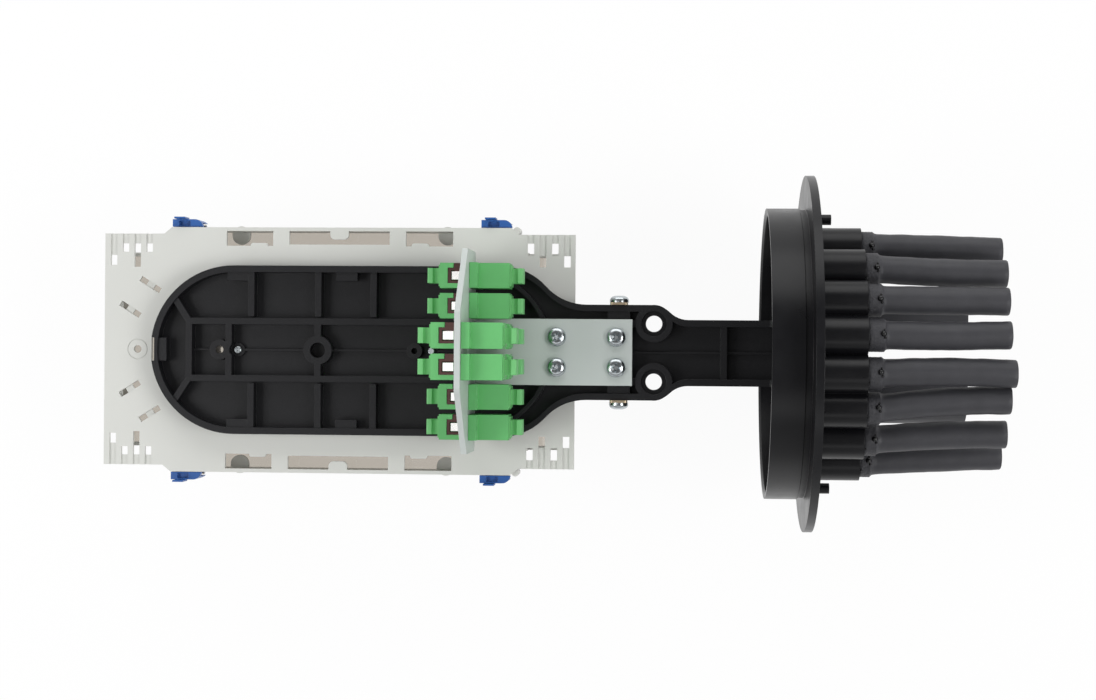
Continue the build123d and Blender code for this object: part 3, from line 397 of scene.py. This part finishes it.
def coloured_plastic(name, colour, roughness, grain_size, depth):
    """Coloured moulding plastic, such as PBT or polyethylene: an even colour with a light mould texture."""
    material, tree, place = new_material(name)
    skin = add_node(
        tree, "TexNoise", "Fac", {"Vector": place, "Scale": 1 / grain_size, "Detail": 3, "Roughness": 0.6}
    )
    flow = add_node(
        tree, "TexNoise", "Fac", {"Vector": place, "Scale": 1 / (5 * MM), "Detail": 2, "Roughness": 0.6}
    )
    tint = add_node(tree, "Mix", 2, {"Factor": flow, **tones(colour, 0.05)}, data_type="RGBA")
    gloss = add_node(
        tree,
        "MapRange",
        "Result",
        {"Value": flow, **NOISE_RANGE, "To Min": roughness - 0.04, "To Max": roughness + 0.06},
    )
    edges = add_node(tree, "Bevel", "Normal", {"Radius": 0.2 * MM}, samples=6)
    relief = add_node(tree, "Bump", "Normal", {"Height": skin, "Distance": depth, "Normal": edges})
    close_material(tree, {"Base Color": tint, "Roughness": gloss, "Normal": relief})
    return material


def powder_coat(colour):
    """Polyester powder coat on steel sheet: satin, with the orange peel such a coat cures to."""
    material, tree, place = new_material("powder_coat")
    peel = add_node(
        tree, "TexNoise", "Fac", {"Vector": place, "Scale": 1 / (1.1 * MM), "Detail": 2, "Roughness": 0.6}
    )
    cloud = add_node(
        tree, "TexNoise", "Fac", {"Vector": place, "Scale": 1 / (16 * MM), "Detail": 2, "Roughness": 0.6}
    )
    tint = add_node(tree, "Mix", 2, {"Factor": cloud, **tones(colour, 0.03)}, data_type="RGBA")
    gloss = add_node(
        tree, "MapRange", "Result", {"Value": peel, **NOISE_RANGE, "To Min": 0.36, "To Max": 0.46}
    )
    relief = add_node(tree, "Bump", "Normal", {"Height": peel, "Distance": 0.03 * MM})
    close_material(tree, {"Base Color": tint, "Roughness": gloss, "Normal": relief})
    return material


def plated_metal(name, colour, smooth, rough):
    """Zinc plating: its colour comes from the reflection, broken up by fine scratches."""
    material, tree, place = new_material(name)
    scratches = add_node(
        tree, "TexNoise", "Fac", {"Vector": place, "Scale": 1 / (0.5 * MM), "Detail": 6, "Roughness": 0.7}
    )
    cloud = add_node(
        tree, "TexNoise", "Fac", {"Vector": place, "Scale": 1 / (2.2 * MM), "Detail": 3, "Roughness": 0.6}
    )
    tint = add_node(tree, "Mix", 2, {"Factor": cloud, **tones(colour, 0.08)}, data_type="RGBA")
    gloss = add_node(
        tree, "MapRange", "Result", {"Value": scratches, **NOISE_RANGE, "To Min": smooth, "To Max": rough}
    )
    relief = add_node(tree, "Bump", "Normal", {"Height": scratches, "Distance": 0.006 * MM})
    close_material(tree, {"Base Color": tint, "Metallic": 1.0, "Roughness": gloss, "Normal": relief})
    return material


def spring_steel(colour, painted_shade, clips):
    """Stainless spring clips, with painted light: a near-white colour on the raised crowns is a painted
    reflection, and a dark brown below them is painted shade.

    The adapters stand in two rows, so half of the clips' levels belong to each row, and the highest
    of each half is that row's crowns.
    """
    material, tree, place = new_material("spring_steel")
    height = add_node(tree, "SeparateXYZ", "Z", {"Vector": place})
    levels = sorted({round(vertex.co.z, 5) for vertex in clips.data.vertices})
    levels_in_row = len(levels) // 2
    # Clips are picked out by height: the crowns get the near-white painted reflection, and the rest gets the
    # dark brown painted shade.
    bright = 0.0
    for crown in levels[levels_in_row - 1 :: levels_in_row]:
        near = add_node(tree, "Math", 0, {0: height, 1: crown, 2: 0.1 * MM}, operation="COMPARE")
        bright = add_node(tree, "Math", 0, {0: bright, 1: near}, operation="MAXIMUM")
    tint = add_node(tree, "Mix", 2, {"Factor": bright, 6: rgba(painted_shade), 7: rgba(colour)}, data_type="RGBA")
    scratches = add_node(
        tree, "TexNoise", "Fac", {"Vector": place, "Scale": 1 / (0.5 * MM), "Detail": 6, "Roughness": 0.7}
    )
    gloss = add_node(
        tree, "MapRange", "Result", {"Value": scratches, **NOISE_RANGE, "To Min": 0.12, "To Max": 0.2}
    )
    relief = add_node(tree, "Bump", "Normal", {"Height": scratches, "Distance": 0.002 * MM})
    close_material(tree, {"Base Color": tint, "Metallic": 1.0, "Roughness": gloss, "Normal": relief})
    return material


def zirconia(colour):
    """Polished zirconia ceramic: white and glossy."""
    material, tree, place = new_material("zirconia")
    cloud = add_node(
        tree, "TexNoise", "Fac", {"Vector": place, "Scale": 1 / (1 * MM), "Detail": 4, "Roughness": 0.6}
    )
    tint = add_node(tree, "Mix", 2, {"Factor": cloud, **tones(colour, 0.02)}, data_type="RGBA")
    close_material(tree, {"Base Color": tint, "Roughness": 0.12, "IOR": 2.1})
    return material


def make_materials():
    """All finishes, by the record's material slot."""
    colours = settings().colours
    return {
        "base_black": glass_filled_polypropylene(colours.base),
        "carrier_black": spark_eroded_abs(colours.carrier),
        "shrink_tube": shrunk_polyolefin(colours.tube),
        "tray_grey": pale_abs("tray_abs", colours.tray, 0.42),
        "holder_white": pale_abs("holder_elastomer", colours.holder, 0.6),
        "lid_smoke": smoked_polycarbonate(colours.lid),
        "latch_blue": coloured_plastic("latch_polypropylene", colours.latch, 0.36, 0.7 * MM, 0.008 * MM),
        "bracket_paint": powder_coat(colours.bracket),
        "adapter_green": coloured_plastic("adapter_pbt", colours.adapter, 0.36, 0.5 * MM, 0.006 * MM),
        "cap_green": coloured_plastic("cap_polyethylene", colours.cap, 0.5, 0.9 * MM, 0.012 * MM),
        # The clips get painted light: a painted reflection on their crowns and painted shade below them.
        "clip_steel": spring_steel(colours.steel, colours.painted_shade, NODES["adapter_clips"]),
        "sleeve_ceramic": zirconia(colours.ceramic),
        "zinc_screw": plated_metal("bright_zinc", colours.zinc, 0.2, 0.34),
        "yellow_zinc": plated_metal("yellow_passivated_zinc", colours.passivated, 0.28, 0.42),
    }


def slot_of(node_name):
    """The record's material slot of a CAD node."""
    for part in frame["record"]["subparts"]:
        if part["node"] == node_name:
            return part["material_slot"]
    raise ValueError(f"no material slot for {node_name}")


def give_material(piece, material):
    """Put one material on a piece."""
    piece.data.materials.clear()
    piece.data.materials.append(material)


def deselect_all():
    """Leave edit mode and select nothing, before a new piece is made."""
    if bpy.context.object and bpy.context.object.mode != "OBJECT":
        bpy.ops.object.mode_set(mode="OBJECT")
    bpy.ops.object.select_all(action="DESELECT")


def select_only(piece):
    """Make one piece the selected and active one."""
    deselect_all()
    bpy.context.view_layer.objects.active = piece
    piece.select_set(True)


def apply_modifiers(piece):
    """Apply all modifiers of a piece, in order."""
    select_only(piece)
    for modifier in list(piece.modifiers):
        bpy.ops.object.modifier_apply(modifier=modifier.name)


def settle(piece, matrix):
    """Put a piece in its place, with its object left at the origin, unturned."""
    piece.matrix_world = matrix
    select_only(piece)
    bpy.ops.object.transform_apply(location=True, rotation=True, scale=True)


def join(pieces, name):
    """Make one piece of several."""
    select_only(pieces[0])
    for piece in pieces:
        piece.select_set(True)
    bpy.ops.object.join()
    pieces[0].name = name
    return pieces[0]


def remove(piece):
    """Delete a helper piece and its mesh."""
    mesh = piece.data
    bpy.data.objects.remove(piece, do_unlink=True)
    bpy.data.meshes.remove(mesh)


def smooth_sides(piece, angle):
    """Round shading, with sharp edges kept where faces meet at more than an angle."""
    select_only(piece)
    bpy.ops.object.shade_smooth_by_angle(angle=angle)


def box_round(points):
    """Lowest and highest corner of the box round some points."""
    lowest = Vector(min(point[axis] for point in points) for axis in range(3))
    highest = Vector(max(point[axis] for point in points) for axis in range(3))
    return lowest, highest


def middle_of_slice(node, low, high):
    """Middle of a CAD node's slice between two places along X."""
    lowest, highest = box_round([v.co for v in node.data.vertices if low <= v.co.x <= high])
    return (lowest + highest) / 2


def loose_boxes(node):
    """Lowest and highest corner of each separate solid in a CAD node, in order along X."""
    copy = node.copy()
    copy.data = node.data.copy()
    bpy.context.collection.objects.link(copy)
    select_only(copy)
    bpy.ops.object.mode_set(mode="EDIT")
    bpy.ops.mesh.select_all(action="SELECT")
    bpy.ops.mesh.remove_doubles(threshold=0.01 * MM)
    bpy.ops.mesh.separate(type="LOOSE")
    bpy.ops.object.mode_set(mode="OBJECT")
    boxes = []
    for solid in list(bpy.context.selected_objects):
        boxes.append(box_round([vertex.co for vertex in solid.data.vertices]))
        remove(solid)
    return sorted(boxes, key=lambda box: tuple(box[0]))


def evenly(low, high, count):
    """Places at equal steps from low to high, without low itself."""
    return [low + (high - low) * number / count for number in range(1, count + 1)]


def sweep_rings(name, sides, fill, stations):
    """A wall along Z swept from ring to ring, left in edit mode; stations are (height, radius, drift)."""
    deselect_all()
    height, radius, drift = stations[0]
    bpy.ops.mesh.primitive_circle_add(vertices=sides, radius=radius, fill_type=fill, location=(0, 0, 0))
    piece = bpy.context.object
    piece.name = name
    bpy.ops.object.mode_set(mode="EDIT")
    bpy.ops.mesh.select_all(action="SELECT")
    bpy.ops.transform.translate(value=(0, drift, height))
    for next_height, next_radius, next_drift in stations[1:]:
        step = (0, next_drift - drift, next_height - height)
        bpy.ops.mesh.extrude_region_move(TRANSFORM_OT_translate={"value": step})
        share = next_radius / radius
        middle = (0, next_drift, next_height)
        bpy.ops.transform.resize(value=(share, share, 1), center_override=middle)
        height, radius, drift = next_height, next_radius, next_drift
    return piece


def turn_faces_out():
    """Point the faces of the piece in edit mode outwards, and leave edit mode."""
    bpy.ops.mesh.select_all(action="SELECT")
    bpy.ops.mesh.normals_make_consistent(inside=False)
    bpy.ops.object.mode_set(mode="OBJECT")


def ripple(piece, name, size, height, group):
    """Raise and lower the wall in one vertex group with soft noise."""
    noise = bpy.data.textures.new(name, "CLOUDS")
    noise.noise_scale = size
    push = piece.modifiers.new(name, "DISPLACE")
    push.texture = noise
    push.texture_coords = "LOCAL"
    push.strength = height
    push.mid_level = 0.5
    push.vertex_group = group


def tube_rings(sizes, length, shoulder):
    """Height and radius of a shrunk tube's rings: out along its outside and back through its bore."""
    outer, bore, collar = sizes.outer, sizes.bore, sizes.collar
    lip = 0.7 * MM
    taper_end = shoulder + 1.8 * MM
    rings = [(0, collar - 0.35 * MM), (0.35 * MM, collar - 0.1 * MM), (lip, collar)]
    rings += [(height, collar) for height in evenly(lip, shoulder, COLLAR_RINGS)]
    rings += [
        (shoulder + 0.4 * MM, outer * 0.55 + collar * 0.45),
        (shoulder + 0.9 * MM, outer * 0.9 + collar * 0.1),
        (taper_end, outer),
    ]
    rings += [(height, outer) for height in evenly(taper_end, length - 0.4 * MM, sizes.rings)]
    rings += [(length, outer - 0.25 * MM), (length, bore + 0.15 * MM), (length - 0.3 * MM, bore)]
    rings += [(height, bore) for height in evenly(length, sizes.socket, BORE_RINGS)]
    return rings + [(sizes.socket, sizes.nozzle), (0, sizes.nozzle)]


def shrink_tube(node, shoulder, bow):
    """A heat-shrunk tube in the place of a CAD tube, softly uneven and a little bowed."""
    sizes = settings().tubes
    xs = [vertex.co.x for vertex in node.data.vertices]
    start, end = min(xs), max(xs)
    root = middle_of_slice(node, start, start + 0.2 * MM)
    tip = middle_of_slice(node, end - 1 * MM, end)
    length = end - start

    def drift(height):
        share = max(0, height - sizes.socket) / (length - sizes.socket)
        return (tip.y - root.y) * share + bow * sin(pi * share)

    stations = [(height, radius, drift(height)) for height, radius in tube_rings(sizes, length, shoulder)]
    piece = sweep_rings(node.name + "_shrunk", sizes.sides, "NOTHING", stations)
    bpy.ops.mesh.select_all(action="DESELECT")
    bpy.ops.mesh.select_non_manifold()
    bpy.ops.mesh.bridge_edge_loops()
    turn_faces_out()
    near_port = piece.vertex_groups.new(name="collar")
    wall = piece.vertex_groups.new(name="wall")
    for vertex in piece.data.vertices:
        x, y, z = vertex.co
        outside = Vector((x, y - drift(z), 0)).length > (sizes.nozzle + sizes.collar) / 2 or z > shoulder
        fade = min(1, max(0, (shoulder + 2 * MM - z) / (3 * MM)))
        near_port.add([vertex.index], fade if outside and z > 0.2 * MM else 0, "REPLACE")
        wall.add([vertex.index], 1 if z > shoulder else 0, "REPLACE")
    ripple(piece, "slow_waves", 9 * MM, sizes.ripple, "wall")
    ripple(piece, "wrinkles", 1.1 * MM, sizes.crinkle, "collar")
    apply_modifiers(piece)
    smooth_sides(piece, radians(50))
    z_to_x = Matrix(((0, 0, 1), (0, 1, 0), (-1, 0, 0))).to_4x4()
    settle(piece, Matrix.Translation((start, root.y, root.z)) @ z_to_x)
    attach(piece, BODY)
    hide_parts(node.name)
    return piece


def glue_beads(node, collar, length):
    """Hot-melt adhesive squeezed out at the collar's end: one flat drop with a few beads round it."""
    start = min(vertex.co.x for vertex in node.data.vertices)
    root = middle_of_slice(node, start, start + 0.2 * MM)
    end = length / MM
    # Place along the tube in millimetres, turn from the top in degrees, and radius in millimetres.
    drops = ((end - 0.7, 5, 1.15), (end - 0.1, -9, 0.5), (end - 0.4, 19, 0.42), (0.5, -33, 0.4))
    beads = []
    for along, turn, size in drops:
        deselect_all()
        bpy.ops.mesh.primitive_uv_sphere_add(
            segments=16, ring_count=10, radius=size * MM, location=(0, 0, 0)
        )
        bead = bpy.context.object
        bpy.ops.transform.resize(value=(1, 1, 0.55), center_override=(0, 0, 0))
        bpy.ops.object.shade_smooth()
        angle = radians(turn)
        place = (start + along * MM, root.y + collar * sin(angle), root.z + collar * cos(angle))
        settle(bead, Matrix.Translation(place) @ Matrix.Rotation(-angle, 4, "X"))
        beads.append(bead)
    merged = join(beads, node.name + "_glue")
    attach(merged, BODY)
    return merged


def recess_arms(sizes):
    """The two tapered bars that cut a cross recess, standing a little above the head."""
    above_head = 0.4 * MM
    height = sizes.depth + above_head
    end_taper, side_taper = 0.35, 0.7
    arms = []
    for turn in (0, 90):
        deselect_all()
        middle = (0, 0, sizes.head_height + above_head - height / 2)
        bpy.ops.mesh.primitive_cube_add(size=1, location=middle)
        arm = bpy.context.object
        bpy.ops.object.mode_set(mode="EDIT")
        bpy.ops.transform.resize(value=(sizes.recess, sizes.blade, height))
        bpy.ops.object.mode_set(mode="OBJECT")
        for vertex in arm.data.vertices:
            if vertex.co.z < 0:
                vertex.co.x *= end_taper
                vertex.co.y *= side_taper
        settle(arm, Matrix.Translation(middle) @ Matrix.Rotation(radians(turn), 4, "Z"))
        arms.append(arm)
    return arms


def pan_head_screw(radius, length, sizes):
    """A pan-head screw along Z, its head's seat at the origin, with a cross recess."""
    dome, fullness = sizes.head_height - sizes.rim, 0.6
    stations = [(-length, sizes.shank, 0), (0, sizes.shank, 0), (0, radius, 0), (sizes.rim, radius, 0)]
    for angle in (radians(degrees) for degrees in (12, 26, 42, 58, 74)):
        stations.append((sizes.rim + dome * sin(angle), radius * cos(angle) ** fullness, 0))
    screw = sweep_rings("screw", sizes.sides, "NGON", stations)
    turn_faces_out()
    arms = recess_arms(sizes)
    for arm in arms:
        cut = screw.modifiers.new("recess", "BOOLEAN")
        cut.operation = "DIFFERENCE"
        cut.solver = "EXACT"
        cut.object = arm
    apply_modifiers(screw)
    for arm in arms:
        remove(arm)
    smooth_sides(screw, radians(32))
    return screw


def set_screws(node, name, turns, upright):
    """Screws with a cross recess in the place of a CAD node's plain ones, upright or from the sides."""
    sizes = settings().screws
    screws = []
    for (low, high), turn in zip(loose_boxes(node), turns):
        middle = (low + high) / 2
        if upright:
            length = high.z - low.z - sizes.head_height
            place = Matrix.Translation((middle.x, middle.y, high.z - sizes.head_height))
        else:
            side = 1 if middle.y > 0 else -1
            head_top = high.y if side > 0 else low.y
            length = high.y - low.y - sizes.head_height
            seat = (middle.x, head_top - side * sizes.head_height, middle.z)
            place = Matrix.Translation(seat) @ Matrix.Rotation(radians(-90 * side), 4, "X")
        screw = pan_head_screw((high.x - low.x) / 2, length, sizes)
        settle(screw, place @ Matrix.Rotation(radians(turn), 4, "Z"))
        screws.append(screw)
    merged = join(screws, name)
    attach(merged, BODY)
    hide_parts(node.name)
    return merged


class CLOSURE_OT_finish_mouldings(bpy.types.Operator):
    """Give every CAD piece its material"""

    bl_idname = "closure.finish_mouldings"
    bl_label = "Finish the CAD pieces"

    def execute(self, context):
        materials = make_materials()
        for name, node in NODES.items():
            give_material(node, materials[slot_of(name)])
        return {"FINISHED"}


class CLOSURE_OT_shrink_tubes(bpy.types.Operator):
    """Put shrunk, uneven tubes in the place of the plain CAD tubes"""

    bl_idname = "closure.shrink_tubes"
    bl_label = "Shrink tubes"

    def execute(self, context):
        sizes = settings().tubes
        shrunk = shrunk_polyolefin(settings().colours.tube)
        glue = hot_melt(settings().colours.glue)
        for number, (bow, extra) in enumerate(zip(BOWS, COLLAR_EXTRAS), start=1):
            node = NODES[f"port_tube_{number}"]
            length = sizes.collar_length + extra * MM
            give_material(shrink_tube(node, length, bow * MM), shrunk)
            give_material(glue_beads(node, sizes.collar, length), glue)
        return {"FINISHED"}


class CLOSURE_OT_set_screws(bpy.types.Operator):
    """Put screws with a cross recess in the place of the plain CAD screws"""

    bl_idname = "closure.set_screws"
    bl_label = "Pan-head screws"

    def execute(self, context):
        zinc = plated_metal("bright_zinc_heads", settings().colours.zinc, 0.14, 0.26)
        bracket = set_screws(NODES["bracket_screws"], "bracket_pan_screws", BRACKET_SCREW_TURNS, True)
        clamp = set_screws(NODES["clamp_screws"], "clamp_pan_screws", CLAMP_SCREW_TURNS, False)
        for screws in (bracket, clamp):
            give_material(screws, zinc)
        return {"FINISHED"}


class CLOSURE_OT_stage(bpy.types.Operator):
    """Add the floor, the lights and the camera"""

    bl_idname = "closure.stage"
    bl_label = "Floor, lights and camera"

    def execute(self, context):
        stage = settings().stage
        add_floor(stage)
        add_sky(stage)
        for name, place, length, width, power in LAMPS:
            add_lamp(name, place, length, width, getattr(stage, power))
        add_camera(stage)
        context.scene.view_settings.view_transform = "Standard"
        return {"FINISHED"}


def add_floor(stage):
    """A floor just under the flange, white to the camera and in glossy and clear pieces.

    It keeps a faint shadow, and the light that it gives the object is that of plain white paint.
    """
    deselect_all()
    bpy.ops.mesh.primitive_plane_add(size=FLOOR_SIZE, location=(0, 0, CAD_BOX[0][2] - FLOOR_GAP))
    floor = bpy.context.object
    floor.name = "floor"
    material, tree, _ = new_material("studio_floor")
    rays = add_node(tree, "LightPath", None, {}).outputs
    seen = add_node(
        tree, "Math", 0, {0: rays["Is Camera Ray"], 1: rays["Is Glossy Ray"]}, operation="MAXIMUM"
    )
    seen = add_node(tree, "Math", 0, {0: seen, 1: rays["Is Transmission Ray"]}, operation="MAXIMUM")
    share = add_node(tree, "Math", 0, {0: seen, 1: stage.floor_glow}, operation="MULTIPLY")
    paint = add_node(tree, "BsdfDiffuse", "BSDF", {"Color": rgba(settings().colours.floor)})
    glow = add_node(tree, "Emission", "Emission", {"Color": WHITE, "Strength": 1.0})
    mixed = add_node(tree, "MixShader", "Shader", {"Fac": share, 1: paint, 2: glow})
    add_node(tree, "OutputMaterial", None, {"Surface": mixed})
    give_material(floor, material)


def add_sky(stage):
    """A sky that is dark above and pale near the floor."""
    world = bpy.data.worlds.new("studio")
    bpy.context.scene.world = world
    world.use_nodes = True
    tree = world.node_tree
    tree.nodes.clear()
    direction = add_node(tree, "TexCoord", "Generated", {})
    height = add_node(tree, "SeparateXYZ", "Z", {"Vector": direction})
    fade = {"From Min": 0.3, "From Max": 0.9, "To Min": stage.horizon, "To Max": stage.zenith}
    strength = add_node(tree, "MapRange", "Result", {"Value": height, **fade})
    sky = add_node(tree, "Background", "Background", {"Color": WHITE, "Strength": strength})
    add_node(tree, "OutputWorld", None, {"Surface": sky})


def add_lamp(name, place, length, width, power):
    """A soft rectangular lamp that points at the middle of the closure."""
    lamp = bpy.data.lights.new(name, "AREA")
    lamp.shape = "RECTANGLE"
    lamp.size = length
    lamp.size_y = width
    lamp.energy = power
    holder = bpy.data.objects.new(name, lamp)
    bpy.context.collection.objects.link(holder)
    holder.location = place
    holder.rotation_euler = (LAMP_AIM - holder.location).to_track_quat("-Z", "Y").to_euler()
    holder.visible_camera = False


def add_camera(stage):
    """The camera, looking down on the tray."""
    lens = bpy.data.cameras.new("camera")
    lens.sensor_fit = "HORIZONTAL"
    lens.sensor_width = 36
    lens.lens = stage.lens
    camera = bpy.data.objects.new("camera", lens)
    bpy.context.collection.objects.link(camera)
    bpy.context.scene.camera = camera
    look = Vector((-sin(stage.tilt), sin(stage.nod), -cos(stage.tilt))).normalized()
    level = look.cross(Vector((0, 1, 0))).normalized()
    rise = level.cross(look)
    right = cos(stage.roll) * level + sin(stage.roll) * rise
    up = cos(stage.roll) * rise - sin(stage.roll) * level
    turned = Matrix((right, up, -look)).transposed().to_4x4()
    place = Vector((stage.camera_x, stage.camera_y, stage.camera_height))
    camera.matrix_world = Matrix.Translation(place) @ turned


OPERATORS = (
    CLOSURE_OT_finish_mouldings,
    CLOSURE_OT_shrink_tubes,
    CLOSURE_OT_set_screws,
    CLOSURE_OT_stage,
)


class CLOSURE_PT_panel(bpy.types.Panel):
    """The closure's tools in the sidebar"""

    bl_label = "Fibre splice closure"
    bl_idname = "CLOSURE_PT_panel"
    bl_space_type = "VIEW_3D"
    bl_region_type = "UI"
    bl_category = "Closure"

    def draw(self, context):
        for operator in OPERATORS:
            self.layout.operator(operator.bl_idname)


GROUPS = (ClosureColours, ClosureTubes, ClosureScrews, ClosureStage, ClosureSettings)
CLASSES = (*GROUPS, *OPERATORS, CLOSURE_PT_panel)


def register():
    """Add the closure's settings, tools and panel to Blender."""
    for each in CLASSES:
        bpy.utils.register_class(each)
    bpy.types.Scene.closure = PointerProperty(type=ClosureSettings)


def unregister():
    """Take the closure's settings, tools and panel out again."""
    del bpy.types.Scene.closure
    for each in reversed(CLASSES):
        bpy.utils.unregister_class(each)


def main():
    """Register the add-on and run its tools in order."""
    register()
    bpy.ops.closure.finish_mouldings()
    bpy.ops.closure.shrink_tubes()
    bpy.ops.closure.set_screws()
    bpy.ops.closure.stage()


if __name__ == "__main__":
    main()
